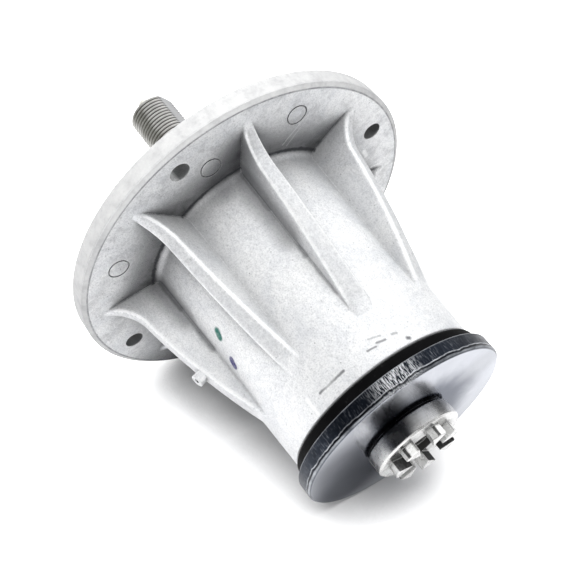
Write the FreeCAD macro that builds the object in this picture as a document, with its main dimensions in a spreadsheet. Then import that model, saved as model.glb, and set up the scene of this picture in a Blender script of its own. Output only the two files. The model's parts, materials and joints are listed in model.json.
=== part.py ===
import FreeCAD, Part
import math
import os
import re
import Sketcher

# Mower deck spindle: ribbed cast housing with a round mounting flange, a steel
# shaft on two ball bearings, a threaded pulley end behind the flange and a
# castellated blade hub in front.
# Frame: mm, origin at the centre of the flange's flat mounting face,
# +Z along the spindle axis towards the castellated hub.

doc = FreeCAD.newDocument("Spindle")
V = FreeCAD.Vector

PARAMS = [
    # housing, outside
    ("flange_rad", 91.0), ("flange_thk", 10.2), ("rim_cham_r", 2.1), ("rim_cham_z", 1.3),
    ("back_cham", 0.8), ("barrel_root_rad", 51.7), ("barrel_end_rad", 47.0), ("house_len", 119.0),
    ("root_fillet", 3.2), ("end_cham", 0.7),
    # radial ribs
    ("rib_count", 8), ("rib_angle", 19.4), ("rib_root_half", 5.3), ("rib_crest_half", 2.3),
    ("rib_in_rad", 42.0), ("rib_out_rad", 84.0), ("rib_foot_rad", 84.5), ("rib_foot_z", 9.2), ("rib_knee_rad", 68.11),
    ("rib_knee_z", 26.77), ("rib_end_rad", 46.4), ("rib_end_z", 101.5), ("rib_arc_rad", 22.0),
    ("rib_back_rad", 360.0), ("rib_round", 2.2), ("rib_core_rad", 44.0),
    # flange holes and ejector marks
    ("bolt_hole_rad", 4.75), ("bolt_circle_rad", 78.0), ("bolt_count", 4),
    ("mark_rad", 5.3), ("mark_line", 0.7), ("mark_depth", 0.6),
    ("mark_a_x", -10.4), ("mark_a_y", -65.9), ("mark_b_x", 50.2), ("mark_b_y", -55.2),
    ("mark_c_x", -53.3), ("mark_c_y", -52.8), ("mark_d_x", 12.0), ("mark_d_y", 66.0),
    # relief vent on one rib
    ("vent_angle", 334.4), ("vent_z", 62.9), ("vent_rad", 60.9), ("vent_boss_rad", 3.1), ("vent_proud", 2.5),
    ("vent_boss_len", 6.5), ("vent_tilt", 72.7), ("vent_hole_rad", 1.2), ("vent_hole_len", 36.0),
    # housing, inside
    ("blade_seat_rad", 36.0), ("blade_seat_z", 95.5), ("core_rad", 33.0), ("land_rad", 27.5),
    ("land_top_z", 27.0), ("pulley_seat_rad", 31.0), ("pulley_seat_z", 21.5),
    ("ring_a_groove_rad", 37.5), ("ring_a_z", 114.55), ("ring_a_thk", 2.5),
    ("ring_b_groove_rad", 32.5), ("ring_b_z", 2.4), ("ring_b_thk", 2.0), ("groove_gap", 0.05),
    # shaft
    ("hub_rad", 21.2), ("hub_base_z", 134.7), ("hub_top_z", 142.9), ("hub_cham", 0.8),
    ("neck_rad", 19.6), ("neck_z", 133.3), ("journal_rad", 15.0), ("shaft_step_z", 30.0),
    ("tail_rad", 12.5), ("tip_z", -89.7), ("tip_cham", 1.3), ("crown_rad", 16.3), ("crown_top_z", 148.2),
    ("crown_cham", 0.5), ("crown_bore_rad", 7.0), ("hole_rad", 5.1), ("hole_end_z", 108.0), ("mouth_z", 140.9),
    ("slot_half", 3.5), ("slot_count", 7), ("slot_angle", 103.0), ("slot_reach", 24.0),
    ("clip_groove_rad", 11.7), ("clip_z", 3.2), ("clip_thk", 1.2),
    ("flat_dist", 10.8), ("flat_angle", 15.0), ("flat_end_z", -42.0),
    ("thread_pitch", 2.117), ("thread_depth", 1.15), ("thread_count", 17), ("thread_first_z", -87.2),
    ("fitting_hole_rad", 3.0), ("fitting_hole_z", -83.4), ("grease_rad", 2.0), ("grease_end_z", 60.0),
    ("cross_rad", 1.5),
    # shield disc and dust seal
    ("disc_rad", 51.0), ("disc_back_z", 124.9), ("disc_cham", 1.0), ("disc_back_cham", 0.5),
    ("spigot_rad", 40.0), ("spigot_z", 120.6), ("boss_rad", 19.4),
    ("seal_rad", 48.1), ("seal_face_z", 119.4), ("seal_round", 1.2),
    # blade-side bearing, 30 x 72 x 19
    ("bb_out", 36.0), ("bb_in", 15.0), ("bb_z", 95.5), ("bb_wid", 19.0), ("bb_pitch", 25.5), ("bb_ball", 6.15),
    ("bb_in_sh", 21.6), ("bb_out_sh", 29.6), ("bb_race", 6.35), ("bb_clear", 0.02), ("bb_rec_rad", 30.6),
    ("bb_rec", 1.5), ("bb_seal_off", 0.4), ("bb_seal_thk", 1.0), ("bb_seal_in", 21.8), ("bb_count", 8),
    ("bb_cage_in", 23.8), ("bb_cage_out", 27.2), ("bb_cage_half", 7.2), ("bb_pocket", 6.25), ("bb_cham", 1.0),
    # pulley-side bearing, 25 x 62 x 17
    ("pb_out", 31.0), ("pb_in", 12.5), ("pb_z", 4.5), ("pb_wid", 17.0), ("pb_pitch", 21.75), ("pb_ball", 5.75),
    ("pb_in_sh", 18.2), ("pb_out_sh", 25.3), ("pb_race", 5.95), ("pb_clear", 0.02), ("pb_rec_rad", 26.3),
    ("pb_rec", 1.4), ("pb_seal_off", 0.35), ("pb_seal_thk", 0.9), ("pb_seal_in", 18.4), ("pb_count", 7),
    ("pb_cage_in", 20.2), ("pb_cage_out", 23.3), ("pb_cage_half", 6.7), ("pb_pocket", 5.85), ("pb_cham", 0.9),
    # spacer tube
    ("tube_in", 15.05), ("tube_out", 18.6), ("tube_hole", 2.0),
    # snap rings
    ("ring_a_in", 33.4), ("ring_a_gap_ang", 344.0), ("lug_a_x", -31.9), ("lug_a_y", 6.6), ("lug_a_rad", 3.1), ("lug_a_hole", 1.5),
    ("ring_b_in", 28.6), ("ring_b_gap_ang", 342.0), ("lug_b_x", -27.1), ("lug_b_y", 6.4), ("lug_b_rad", 2.8), ("lug_b_hole", 1.25),
    ("clip_out", 14.6), ("clip_gap_ang", 330.0), ("lug_c_x", -14.9), ("lug_c_y", 5.0), ("lug_c_rad", 2.0), ("lug_c_hole", 1.0),
    # grease fitting
    ("gf_shank", 2.98), ("gf_shank_z", -84.0), ("gf_hex_half", 3.5), ("gf_hex_corner", 4.0415), ("gf_hex_z", -92.7),
    ("gf_neck", 2.3), ("gf_head", 3.25), ("gf_head_z", -96.4), ("gf_tip_z", -99.5), ("gf_tip_rad", 2.0),
    ("gf_bore", 1.62), ("gf_port", 1.0), ("gf_seat_z", -98.06), ("gf_stop_z", -85.2), ("gf_stop_rad", 0.8),
    ("gf_ball", 1.5), ("gf_ball_z", -96.9), ("spring_mean", 1.2), ("spring_wire", 0.16), ("spring_low_z", -95.55),
    ("spring_pitch", 1.05), ("spring_height", 10.1),
]
P = dict(PARAMS)

sheet = doc.addObject("Spreadsheet::Sheet", "Params")
for row, (name, value) in enumerate(PARAMS, start=1):
    sheet.set("A%d" % row, name)
    sheet.set("B%d" % row, repr(value))
    sheet.setAlias("B%d" % row, name)
doc.recompute()


def val(text):
    # number for a sum of terms such as "hub_rad - hub_cham + 0.5*tube_in"
    total, sign = 0.0, 1.0
    for tok in str(text).split():
        if tok in "+-":
            sign = 1.0 if tok == "+" else -1.0
            continue
        prod = 1.0
        if tok[0] == "-":
            prod, tok = -1.0, tok[1:]
        for f in tok.split("*"):
            prod *= P[f] if f in P else float(f)
        total += sign * prod
        sign = 1.0
    return total


def ex(text):
    return re.sub(r"[a-z][a-z_]*", lambda m: "Params." + m.group(0), str(text))


def bind(obj, prop, text):
    obj.setExpression(prop, ex(text))


def new_body(label):
    body = doc.addObject("PartDesign::Body", "B_" + label)
    body.Label = label
    body.Placement = FreeCAD.Placement()
    return body


def plane(body, role):
    for f in body.Origin.OriginFeatures:
        if f.Role == role:
            return f
    raise RuntimeError(role)


def sketch_on(body, role, offset="0", turn="0"):
    sk = body.newObject("Sketcher::SketchObject", "Sk")
    sk.AttachmentSupport = [(plane(body, role), "")]
    sk.MapMode = "FlatFace"
    sk.AttachmentOffset = FreeCAD.Placement(V(0, 0, val(offset)), FreeCAD.Rotation(V(0, 0, 1), val(turn)))
    if offset != "0":
        bind(sk, "AttachmentOffset.Base.z", offset)
    if turn != "0":
        bind(sk, "AttachmentOffset.Rotation.Angle", turn)
    return sk


def place_vertex(sk, geo, pos, x, y):
    for axis, text in (("X", x), ("Y", y)):
        v = val(text)
        if abs(v) < 1e-9:
            sk.addConstraint(Sketcher.Constraint("PointOnObject", geo, pos, -2 if axis == "X" else -1))
        else:
            c = sk.addConstraint(Sketcher.Constraint("Distance" + axis, -1, 1, geo, pos, v))
            sk.setExpression("Constraints[%d]" % c, ex(text))


def polygon(sk, pts):
    # closed outline; a point is (x, y) or (x, y, radius, side), where the edge
    # that starts there is an arc of that radius bulging to the given side
    n = len(pts)
    xy = [(val(p[0]), val(p[1])) for p in pts]
    geos = []
    for i in range(n):
        a, b = xy[i], xy[(i + 1) % n]
        if len(pts[i]) > 2:
            rad = val(pts[i][2])
            side = pts[i][3]
            mx, my = (a[0] + b[0]) / 2, (a[1] + b[1]) / 2
            dx, dy = b[0] - a[0], b[1] - a[1]
            half = math.hypot(dx, dy) / 2
            hgt = math.sqrt(max(rad * rad - half * half, 0.0))
            nx, ny = -dy / (2 * half), dx / (2 * half)
            cx, cy = mx - side * nx * hgt, my - side * ny * hgt
            # mid point of the arc on the bulging side
            px, py = cx + side * nx * rad, cy + side * ny * rad
            arc = Part.Arc(V(a[0], a[1], 0), V(px, py, 0), V(b[0], b[1], 0))
            g = sk.addGeometry(arc, False)
            s0 = sk.getPoint(g, 1)
            fwd = math.hypot(s0.x - a[0], s0.y - a[1]) < 1e-4
            geos.append((g, 1 if fwd else 2, 2 if fwd else 1, pts[i][2]))
        else:
            g = sk.addGeometry(Part.LineSegment(V(a[0], a[1], 0), V(b[0], b[1], 0)), False)
            geos.append((g, 1, 2, None))
    for i in range(n):
        g, s, e, rad = geos[i]
        g2, s2, e2, _ = geos[(i + 1) % n]
        sk.addConstraint(Sketcher.Constraint("Coincident", g, e, g2, s2))
        place_vertex(sk, g, s, pts[i][0], pts[i][1])
    for g, s, e, rad in geos:
        if rad is not None:
            c = sk.addConstraint(Sketcher.Constraint("Radius", g, val(rad)))
            sk.setExpression("Constraints[%d]" % c, ex(rad))


def circle(sk, x, y, rad):
    g = sk.addGeometry(Part.Circle(V(val(x), val(y), 0), V(0, 0, 1), val(rad)), False)
    place_vertex(sk, g, 3, x, y)
    c = sk.addConstraint(Sketcher.Constraint("Radius", g, val(rad)))
    sk.setExpression("Constraints[%d]" % c, ex(rad))


def turned(body, pts, cut=False, angle=None, mid=False):
    sk = sketch_on(body, "XZ_Plane")
    polygon(sk, pts)
    f = body.newObject("PartDesign::Groove" if cut else "PartDesign::Revolution", "Turn")
    f.Profile = sk
    f.ReferenceAxis = (sk, ["V_Axis"])
    f.Angle = 360.0
    if angle:
        bind(f, "Angle", angle)
    f.Midplane = mid
    sk.Visibility = False
    body.Tip = f
    doc.recompute()
    return f, sk


def pad(body, sk, length):
    f = body.newObject("PartDesign::Pad", "Pad")
    f.Profile = sk
    f.Length = val(length)
    bind(f, "Length", length)
    body.Tip = f
    doc.recompute()
    return f


def pocket(body, sk, length=None, reverse=False):
    f = body.newObject("PartDesign::Pocket", "Pocket")
    f.Profile = sk
    if length is None:
        f.Type = "ThroughAll"
        f.Midplane = True
    else:
        f.Length = val(length)
        bind(f, "Length", length)
        f.Reversed = reverse
    body.Tip = f
    doc.recompute()
    return f


def polar(body, feats, sk, count):
    f = body.newObject("PartDesign::PolarPattern", "Around")
    f.Originals = feats
    f.Axis = (sk, ["N_Axis"])
    f.Angle = 360.0
    f.Occurrences = int(val(count))
    bind(f, "Occurrences", count)
    body.Tip = f
    doc.recompute()
    return f


def rect(x0, x1, y0, y1):
    return [(x0, y0), (x1, y0), (x1, y1), (x0, y1)]


parts = []

# ---------------------------------------------------------------- housing
b = new_body("spindle_housing")
# the ribs come first, on a core that the barrel later swallows
turned(b, [
    ("0", "flange_thk - 3.0"), ("rib_core_rad", "flange_thk - 3.0"),
    ("rib_core_rad", "rib_end_z"), ("0", "rib_end_z"),
])
sk = sketch_on(b, "XY_Plane", "flange_thk - 3.0", "rib_angle")
polygon(sk, [
    ("rib_in_rad", "-rib_root_half"), ("rib_out_rad", "-rib_crest_half"),
    ("rib_out_rad", "rib_crest_half"), ("rib_in_rad", "rib_root_half"),
])
f = pad(b, sk, "rib_end_z - flange_thk + 3.0")
polar(b, [f], sk, "rib_count")
crest, sk = turned(b, [
    ("rib_foot_rad", "rib_foot_z"), ("95.0", "rib_foot_z"), ("95.0", "rib_end_z + 3.0"),
    ("rib_end_rad", "rib_end_z + 3.0"), ("rib_end_rad", "rib_end_z", "rib_back_rad", 1),
    ("rib_knee_rad", "rib_knee_z", "rib_arc_rad", -1),
], cut=True)
# both long edges of every crest are rounded
long_edges = []
for i, ed in enumerate(crest.Shape.Edges):
    ends = [ed.valueAt(ed.FirstParameter), ed.valueAt(ed.LastParameter)]
    rads = [math.hypot(q.x, q.y) for q in ends]
    if abs(rads[0] - rads[1]) > 5.0 and abs(ends[0].z - ends[1].z) > 5.0:
        long_edges.append("Edge%d" % (i + 1))
if len(long_edges) != 4 * int(P["rib_count"]):
    raise SystemExit("rib crests: found %d long edges" % len(long_edges))
rd = b.newObject("PartDesign::Fillet", "CrestRound")
rd.Base = (crest, long_edges)
rd.Radius = P["rib_round"]
bind(rd, "Radius", "rib_round")
b.Tip = rd
doc.recompute()
# flange, root fillet and tapered barrel
turned(b, [
    ("0", "0"), ("flange_rad - back_cham", "0"), ("flange_rad", "back_cham"),
    ("flange_rad", "flange_thk - rim_cham_z"), ("flange_rad - rim_cham_r", "flange_thk"),
    ("barrel_root_rad + root_fillet", "flange_thk", "root_fillet", 1),
    ("barrel_root_rad", "flange_thk + root_fillet"),
    ("barrel_end_rad", "house_len - end_cham"), ("barrel_end_rad - end_cham", "house_len"), ("0", "house_len"),
])
# vent boss on one rib, square to the sloping crest
va = math.radians(val("vent_angle"))
tl = math.radians(val("vent_tilt"))
axis = V(math.cos(va) * math.sin(tl), math.sin(va) * math.sin(tl), math.cos(tl))
mouth = V(math.cos(va) * val("vent_rad"), math.sin(va) * val("vent_rad"), val("vent_z")) + axis * val("vent_proud")
rot = FreeCAD.Rotation(V(0, 0, 1), axis)
boss = b.newObject("PartDesign::AdditiveCylinder", "VentBoss")
bind(boss, "Radius", "vent_boss_rad")
bind(boss, "Height", "vent_boss_len")
boss.Placement = FreeCAD.Placement(mouth - axis * val("vent_boss_len"), rot)
b.Tip = boss
doc.recompute()
drill = b.newObject("PartDesign::SubtractiveCylinder", "VentHole")
bind(drill, "Radius", "vent_hole_rad")
bind(drill, "Height", "vent_hole_len + 1.0")
drill.Placement = FreeCAD.Placement(mouth - axis * val("vent_hole_len"), rot)
b.Tip = drill
doc.recompute()
# bearing seats, core and snap-ring grooves
turned(b, [
    ("0", "-1.0"), ("pulley_seat_rad + 0.8", "-1.0"), ("pulley_seat_rad + 0.8", "0"), ("pulley_seat_rad", "0.8"),
    ("pulley_seat_rad", "ring_b_z - groove_gap"), ("ring_b_groove_rad", "ring_b_z - groove_gap"),
    ("ring_b_groove_rad", "ring_b_z + ring_b_thk + groove_gap"), ("pulley_seat_rad", "ring_b_z + ring_b_thk + groove_gap"),
    ("pulley_seat_rad", "pulley_seat_z"), ("land_rad", "pulley_seat_z"), ("land_rad", "land_top_z"),
    ("core_rad - 1.0", "land_top_z + 3.0"), ("core_rad", "blade_seat_z"), ("blade_seat_rad", "blade_seat_z"),
    ("blade_seat_rad", "ring_a_z - groove_gap"), ("ring_a_groove_rad", "ring_a_z - groove_gap"),
    ("ring_a_groove_rad", "ring_a_z + ring_a_thk + groove_gap"), ("blade_seat_rad", "ring_a_z + ring_a_thk + groove_gap"),
    ("blade_seat_rad", "house_len - 0.8"), ("blade_seat_rad + 0.8", "house_len"),
    ("blade_seat_rad + 0.8", "house_len + 1.0"), ("0", "house_len + 1.0"),
], cut=True)
# bolt holes
sk = sketch_on(b, "XY_Plane")
circle(sk, "bolt_circle_rad", "0", "bolt_hole_rad")
f = pocket(b, sk)
polar(b, [f], sk, "bolt_count")
# ejector-pin rings in the flange face
sk = sketch_on(b, "XY_Plane", "flange_thk")
for k in "abcd":
    circle(sk, "mark_%s_x" % k, "mark_%s_y" % k, "mark_rad")
    circle(sk, "mark_%s_x" % k, "mark_%s_y" % k, "mark_rad - mark_line")
pocket(b, sk, "mark_depth")
parts.append(b)

# ---------------------------------------------------------------- shaft
b = new_body("spindle_shaft")
turned(b, [
    ("0", "tip_z"), ("tail_rad - tip_cham", "tip_z"), ("tail_rad", "tip_z + tip_cham"),
    ("tail_rad", "clip_z - groove_gap"), ("clip_groove_rad", "clip_z - groove_gap"),
    ("clip_groove_rad", "clip_z + clip_thk + groove_gap"), ("tail_rad", "clip_z + clip_thk + groove_gap"),
    ("tail_rad", "shaft_step_z - 1.5"), ("journal_rad", "shaft_step_z"), ("journal_rad", "neck_z"),
    ("neck_rad", "neck_z"), ("neck_rad", "hub_base_z"), ("hub_rad - 0.3", "hub_base_z"), ("hub_rad", "hub_base_z + 0.3"),
    ("hub_rad", "hub_top_z - hub_cham"), ("hub_rad - hub_cham", "hub_top_z"), ("crown_rad", "hub_top_z"),
    ("crown_rad", "crown_top_z - crown_cham"), ("crown_rad - crown_cham", "crown_top_z"), ("0", "crown_top_z"),
])
turned(b, [
    ("0", "hole_end_z - 2.8"), ("hole_rad", "hole_end_z"), ("hole_rad", "mouth_z"), ("crown_bore_rad", "hub_top_z"),
    ("crown_bore_rad", "crown_top_z + 1.0"), ("0", "crown_top_z + 1.0"),
], cut=True)
sk = sketch_on(b, "XY_Plane", "crown_top_z", "slot_angle")
polygon(sk, rect("0", "slot_reach", "-slot_half", "slot_half"))
f = pocket(b, sk, "crown_top_z - hub_top_z")
polar(b, [f], sk, "slot_count")
# grease passage and fitting hole
turned(b, [
    ("0", "tip_z - 1.0"), ("fitting_hole_rad", "tip_z - 1.0"), ("fitting_hole_rad", "fitting_hole_z"),
    ("grease_rad", "fitting_hole_z"), ("grease_rad", "grease_end_z"), ("0", "grease_end_z + 1.2"),
], cut=True)
sk = sketch_on(b, "XZ_Plane")
circle(sk, "0", "grease_end_z - 4.0", "cross_rad")
pocket(b, sk)
# fine thread, one ring groove a pitch
sk = sketch_on(b, "XZ_Plane")
polygon(sk, [
    ("tail_rad + 0.4", "thread_first_z - 0.5*thread_pitch"), ("tail_rad + 0.4", "thread_first_z + 0.5*thread_pitch"),
    ("tail_rad", "thread_first_z + 0.42*thread_pitch"), ("tail_rad - thread_depth", "thread_first_z + 0.07*thread_pitch"),
    ("tail_rad - thread_depth", "thread_first_z - 0.07*thread_pitch"), ("tail_rad", "thread_first_z - 0.42*thread_pitch"),
])
f = b.newObject("PartDesign::Groove", "Turn")
f.Profile = sk
f.ReferenceAxis = (sk, ["V_Axis"])
f.Angle = 360.0
b.Tip = f
doc.recompute()
lp = b.newObject("PartDesign::LinearPattern", "Along")
lp.Originals = [f]
lp.Direction = (sk, ["V_Axis"])
lp.Length = (P["thread_count"] - 1) * P["thread_pitch"]
lp.setExpression("Length", "(Params.thread_count - 1) * Params.thread_pitch")
lp.Occurrences = int(P["thread_count"])
b.Tip = lp
doc.recompute()
# two flats along the pulley end
sk = sketch_on(b, "XY_Plane", "tip_z - 1.0", "flat_angle")
polygon(sk, rect("flat_dist", "20.0", "-20.0", "20.0"))
polygon(sk, rect("-20.0", "-flat_dist", "-20.0", "20.0"))
pocket(b, sk, "flat_end_z - tip_z + 1.0", True)
parts.append(b)

# ---------------------------------------------------------------- shield disc and dust seal
b = new_body("blade_shield_disc")
turned(b, [
    ("journal_rad + 0.01", "bb_z + bb_wid"), ("boss_rad", "bb_z + bb_wid"), ("boss_rad", "spigot_z + 1.6"),
    ("spigot_rad - 5.0", "spigot_z + 1.6"), ("spigot_rad - 5.0", "spigot_z"), ("spigot_rad", "spigot_z"),
    ("spigot_rad", "disc_back_z"), ("disc_rad - disc_back_cham", "disc_back_z"), ("disc_rad", "disc_back_z + disc_back_cham"),
    ("disc_rad", "neck_z - disc_cham"), ("disc_rad - disc_cham", "neck_z"), ("journal_rad + 0.01", "neck_z"),
])
parts.append(b)

b = new_body("dust_seal_ring")
turned(b, [
    ("spigot_rad + 0.01", "seal_face_z + 0.6"), ("spigot_rad + 2.5", "seal_face_z"), ("seal_rad - seal_round", "seal_face_z", "seal_round", -1),
    ("seal_rad", "seal_face_z + seal_round"), ("seal_rad", "disc_back_z - 0.5"), ("seal_rad - 0.5", "disc_back_z - 0.02"),
    ("spigot_rad + 0.01", "disc_back_z - 0.02"),
])
parts.append(b)


# ---------------------------------------------------------------- bearings
def bearing(k, name):
    mid = "%s_z + 0.5*%s_wid" % (k, k)
    top = "%s_z + %s_wid" % (k, k)
    low = "%s_z" % k
    # where the ball groove meets the ring's shoulder
    rp, rr, rc = P[k + "_pitch"], P[k + "_race"], P[k + "_clear"]
    cin = rp - P[k + "_ball"] - rc + rr
    cout = rp + P[k + "_ball"] + rc - rr
    gin = math.sqrt(rr * rr - (cin - P[k + "_in_sh"]) ** 2)
    gout = math.sqrt(rr * rr - (P[k + "_out_sh"] - cout) ** 2)
    b = new_body(name + "_outer_ring")
    turned(b, [
        ("%s_out - %s_cham" % (k, k), low), ("%s_out" % k, "%s + %s_cham" % (low, k)),
        ("%s_out" % k, "%s - %s_cham" % (top, k)), ("%s_out - %s_cham" % (k, k), top),
        ("%s_rec_rad" % k, top), ("%s_rec_rad" % k, "%s - %s_rec" % (top, k)), ("%s_out_sh" % k, "%s - %s_rec" % (top, k)),
        ("%s_out_sh" % k, "%s + %.6f" % (mid, gout), "%s_race" % k, 1), ("%s_out_sh" % k, "%s - %.6f" % (mid, gout)),
        ("%s_out_sh" % k, "%s + %s_rec" % (low, k)), ("%s_rec_rad" % k, "%s + %s_rec" % (low, k)), ("%s_rec_rad" % k, low),
    ])
    parts.append(b)
    b = new_body(name + "_inner_ring")
    turned(b, [
        ("%s_in + 0.8" % k, low), ("%s_in_sh" % k, low),
        ("%s_in_sh" % k, "%s - %.6f" % (mid, gin), "%s_race" % k, 1), ("%s_in_sh" % k, "%s + %.6f" % (mid, gin)),
        ("%s_in_sh" % k, top), ("%s_in + 0.8" % k, top), ("%s_in" % k, "%s - 0.8" % top), ("%s_in" % k, "%s + 0.8" % low),
    ])
    parts.append(b)
    n = int(P[k + "_count"])
    balls = []
    for i in range(n):
        s = doc.addObject("Part::Sphere", "Ball")
        bind(s, "Radius", "%s_ball" % k)
        a = 360.0 * i / n
        s.setExpression("Placement.Base.x", "Params.%s_pitch * cos(%r)" % (k, a))
        s.setExpression("Placement.Base.y", "Params.%s_pitch * sin(%r)" % (k, a))
        s.setExpression("Placement.Base.z", ex(mid))
        balls.append(s)
    c = doc.addObject("Part::Compound", "Balls")
    c.Links = balls
    c.Label = name + "_balls"
    c.Placement = FreeCAD.Placement()
    parts.append(c)
    b = new_body(name + "_cage")
    turned(b, rect("%s_cage_in" % k, "%s_cage_out" % k, "%s - %s_cage_half" % (mid, k), "%s + %s_cage_half" % (mid, k)))
    sk = sketch_on(b, "YZ_Plane")
    circle(sk, "0", mid, "%s_pocket" % k)
    pk = pocket(b, sk, "%s_cage_out + 5.0" % k, True)
    pp = b.newObject("PartDesign::PolarPattern", "Around")
    pp.Originals = [pk]
    zax = [o for o in b.Origin.OriginFeatures if o.Role == "Z_Axis"][0]
    pp.Axis = (zax, [""])
    pp.Angle = 360.0
    pp.Occurrences = n
    bind(pp, "Occurrences", "%s_count" % k)
    b.Tip = pp
    doc.recompute()
    parts.append(b)
    for tag, z0, z1 in (("seal_front", "%s - %s_seal_off - %s_seal_thk" % (top, k, k), "%s - %s_seal_off" % (top, k)),
                        ("seal_back", "%s + %s_seal_off" % (low, k), "%s + %s_seal_off + %s_seal_thk" % (low, k, k))):
        b = new_body(name + "_" + tag)
        turned(b, rect("%s_seal_in" % k, "%s_rec_rad" % k, z0, z1))
        parts.append(b)


bearing("bb", "blade_bearing")
bearing("pb", "pulley_bearing")

# ---------------------------------------------------------------- spacer tube
b = new_body("bearing_spacer_tube")
turned(b, rect("tube_in", "tube_out", "pb_z + pb_wid + 0.02", "bb_z - 0.02"))
sk = sketch_on(b, "XZ_Plane")
circle(sk, "0", "grease_end_z - 4.0", "tube_hole")
pocket(b, sk)
parts.append(b)


# ---------------------------------------------------------------- snap rings
def snap_ring(name, r_in, r_out, z, thk, gap, k):
    b = new_body(name)
    turned(b, rect(r_in, r_out, z, "%s + %s" % (z, thk)), angle=gap, mid=True)
    sk = sketch_on(b, "XY_Plane", z)
    circle(sk, "lug_%s_x" % k, "lug_%s_y" % k, "lug_%s_rad" % k)
    circle(sk, "lug_%s_x" % k, "-lug_%s_y" % k, "lug_%s_rad" % k)
    pad(b, sk, thk)
    sk = sketch_on(b, "XY_Plane")
    circle(sk, "lug_%s_x" % k, "lug_%s_y" % k, "lug_%s_hole" % k)
    circle(sk, "lug_%s_x" % k, "-lug_%s_y" % k, "lug_%s_hole" % k)
    pocket(b, sk)
    parts.append(b)


snap_ring("blade_side_snap_ring", "ring_a_in", "ring_a_groove_rad - 0.1", "ring_a_z", "ring_a_thk", "ring_a_gap_ang", "a")
snap_ring("pulley_side_snap_ring", "ring_b_in", "ring_b_groove_rad - 0.1", "ring_b_z", "ring_b_thk", "ring_b_gap_ang", "b")
snap_ring("shaft_retaining_ring", "clip_groove_rad + 0.02", "clip_out", "clip_z", "clip_thk", "clip_gap_ang", "c")

# ---------------------------------------------------------------- grease fitting
b = new_body("grease_fitting_body")
turned(b, [
    ("0", "gf_tip_z"), ("gf_tip_rad", "gf_tip_z"), ("gf_head", "gf_tip_z + 1.6"), ("gf_head", "gf_head_z - 0.3"),
    ("gf_neck", "gf_head_z + 0.9"), ("gf_neck", "gf_hex_z"), ("gf_shank", "gf_hex_z"), ("gf_shank", "gf_shank_z - 0.4"),
    ("gf_shank - 0.4", "gf_shank_z"), ("0", "gf_shank_z"),
])
sk = sketch_on(b, "XY_Plane", "gf_hex_z")
polygon(sk, [
    ("gf_hex_corner", "0"), ("0.5*gf_hex_corner", "gf_hex_half"), ("-0.5*gf_hex_corner", "gf_hex_half"),
    ("-gf_hex_corner", "0"), ("-0.5*gf_hex_corner", "-gf_hex_half"), ("0.5*gf_hex_corner", "-gf_hex_half"),
])
pad(b, sk, "tip_z - gf_hex_z")
turned(b, [
    ("0", "gf_tip_z - 1.0"), ("gf_port", "gf_tip_z - 1.0"), ("gf_port", "gf_seat_z"), ("gf_bore", "gf_seat_z"),
    ("gf_bore", "gf_stop_z"), ("gf_stop_rad", "gf_stop_z"), ("gf_stop_rad", "gf_shank_z + 1.0"), ("0", "gf_shank_z + 1.0"),
], cut=True)
parts.append(b)

s = doc.addObject("Part::Sphere", "CheckBall")
s.Label = "grease_check_ball"
bind(s, "Radius", "gf_ball")
s.Placement = FreeCAD.Placement(V(0, 0, val("gf_ball_z")), FreeCAD.Rotation())
bind(s, "Placement.Base.z", "gf_ball_z")
parts.append(s)

b = new_body("grease_check_spring")
sk = sketch_on(b, "XZ_Plane")
circle(sk, "spring_mean", "spring_low_z", "spring_wire")
h = b.newObject("PartDesign::AdditiveHelix", "Coil")
h.Profile = sk
h.ReferenceAxis = (sk, ["V_Axis"])
h.Mode = 0
bind(h, "Pitch", "spring_pitch")
bind(h, "Height", "spring_height")
h.Turns = 9
b.Tip = h
doc.recompute()
parts.append(b)

# ---------------------------------------------------------------- check and export
doc.recompute()
bad = []
for o in doc.Objects:
    if "Invalid" in o.State or "Error" in o.State:
        bad.append("%s %s %s" % (o.Name, o.Label, o.State))
for o in parts:
    if o.Shape.isNull() or not o.Shape.isValid() or not o.Shape.Solids:
        bad.append("shape %s" % o.Label)
if bad:
    raise RuntimeError("; ".join(bad))
os.makedirs("parts", exist_ok=True)
for o in parts:
    o.Shape.exportStep("parts/%s.step" % o.Label)
    bb = o.Shape.BoundBox
    print("%-30s solids %d vol %10.1f  x %.2f %.2f y %.2f %.2f z %.2f %.2f" % (
        o.Label, len(o.Shape.Solids), o.Shape.Volume, bb.XMin, bb.XMax, bb.YMin, bb.YMax, bb.ZMin, bb.ZMax))
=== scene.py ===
import json
import math

import bpy
from mathutils import Matrix, Vector


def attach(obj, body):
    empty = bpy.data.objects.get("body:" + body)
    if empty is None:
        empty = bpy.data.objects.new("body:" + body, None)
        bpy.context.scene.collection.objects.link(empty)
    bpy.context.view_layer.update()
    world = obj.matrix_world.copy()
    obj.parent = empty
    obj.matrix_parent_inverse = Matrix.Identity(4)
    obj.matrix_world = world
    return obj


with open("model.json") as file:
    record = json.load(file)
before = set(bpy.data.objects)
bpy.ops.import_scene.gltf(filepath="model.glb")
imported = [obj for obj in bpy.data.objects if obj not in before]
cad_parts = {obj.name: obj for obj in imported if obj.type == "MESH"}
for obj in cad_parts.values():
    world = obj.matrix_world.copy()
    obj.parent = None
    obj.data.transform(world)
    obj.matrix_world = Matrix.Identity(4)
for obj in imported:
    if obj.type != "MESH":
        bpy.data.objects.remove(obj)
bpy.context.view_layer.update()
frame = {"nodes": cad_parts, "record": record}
NODES = frame["nodes"]
sc = bpy.context.scene


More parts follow.
